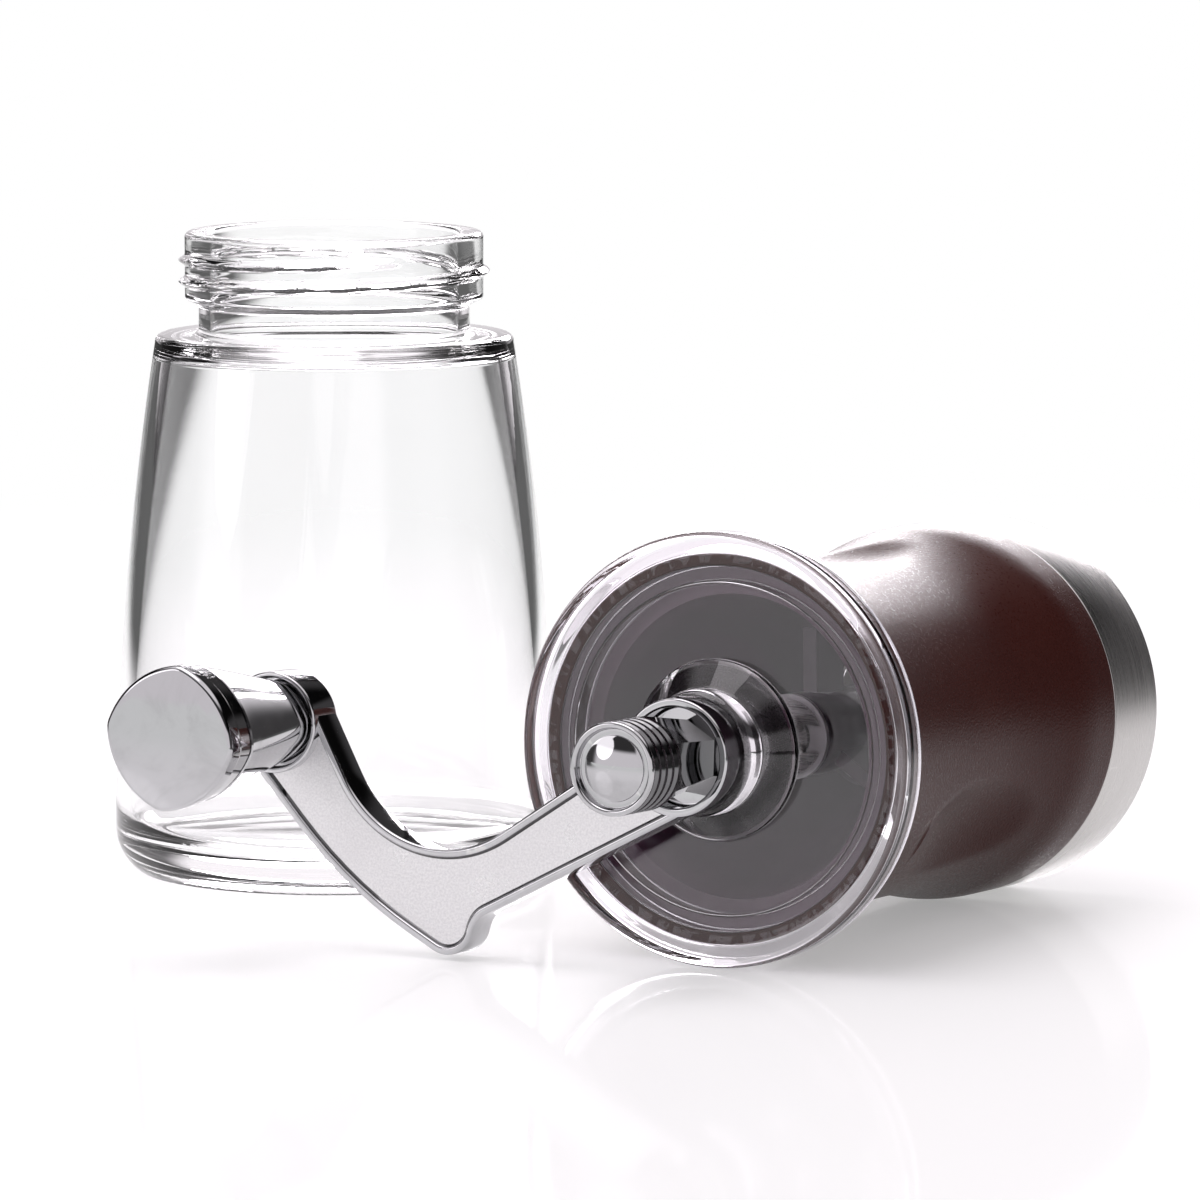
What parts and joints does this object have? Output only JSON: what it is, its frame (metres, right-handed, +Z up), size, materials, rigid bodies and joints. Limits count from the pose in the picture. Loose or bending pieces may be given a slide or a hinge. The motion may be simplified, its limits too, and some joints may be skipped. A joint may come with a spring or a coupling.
{
  "type": "hand crank coffee grinder",
  "caption": "Hand coffee mill in two halves: a waisted grinding head on its side, with clear lid, crank arm and ceramic burrs, and its threaded glass jar standing beside it.",
  "frame": {"origin": "centre of the whole set's footprint box, on the surface that both halves rest on", "axes": "+Z up from that surface, +X from the jar towards the grinding head, -Y the way the crank end of the head faces"},
  "size_m": [0.178, 0.147, 0.1081],
  "materials": {
    "brown_body": "soft-touch, satin",
    "steel": "brushed",
    "dark_plastic": "moulded satin",
    "pale_plastic": "moulded satin",
    "clear_plastic": "clear, polished",
    "ceramic": "unglazed, smooth",
    "cast_metal": "plated, satin face and polished border",
    "chrome": "polished",
    "brass": "turned",
    "glass": "clear, pressed"
  },
  "bodies": {
    "head": {"body_shell": "brown_body", "steel_band": "steel", "hopper": "dark_plastic", "clear_lid": "clear_plastic", "lid_bush": "dark_plastic", "upper_bush": "pale_plastic", "lower_bush": "pale_plastic", "outer_burr": "ceramic", "burr_holder": "dark_plastic", "burr_holder_screws": "steel"},
    "crank": {"drive_shaft": "steel", "retaining_clip": "steel", "spring_washer": "steel", "burr_spring": "steel", "crank_arm": "cast_metal", "cap_nut": "chrome", "knob_pin": "steel", "knob_washer": "pale_plastic"},
    "knob": {"knob_shell": "chrome", "knob_cap": "chrome", "knob_bush": "pale_plastic"},
    "inner_burr": {"inner_burr": "ceramic", "burr_key": "dark_plastic"},
    "adjuster": {"adjusting_nut": "dark_plastic", "nut_insert": "brass"},
    "jar": {"glass_jar": "glass"}
  },
  "joints": [
    {"name": "crank_turn", "type": "hinge", "parent": "head", "child": "crank", "pos_m": [0.05465, -0.02891, 0.03451], "axis": [0, -0.9993, 0.0363], "continuous": true},
    {"name": "knob_spin", "type": "hinge", "parent": "crank", "child": "knob", "pos_m": [-0.01775, -0.05386, 0.0363], "axis": [0, -0.9993, 0.0363], "continuous": true},
    {"name": "burr_lift", "type": "slide", "parent": "crank", "child": "inner_burr", "axis": [0, -0.9993, 0.0363], "range_m": [-0.0008, 0.0008], "deforming": ["burr_spring"]},
    {"name": "adjuster_turn", "type": "hinge", "parent": "inner_burr", "child": "adjuster", "pos_m": [0.05465, 0.06303, 0.03117], "axis": [0, -0.9993, 0.0363], "range_deg": [-360, 360]},
    {"name": "jar_lift", "type": "slide", "parent": "head", "child": "jar", "axis": [0, 0, 1], "range_m": [0, 0.13]}
  ],
  "couplings": [
    {"joint": "adjuster_turn", "follows": "burr_lift", "rad_per_m": 7854}
  ]
}
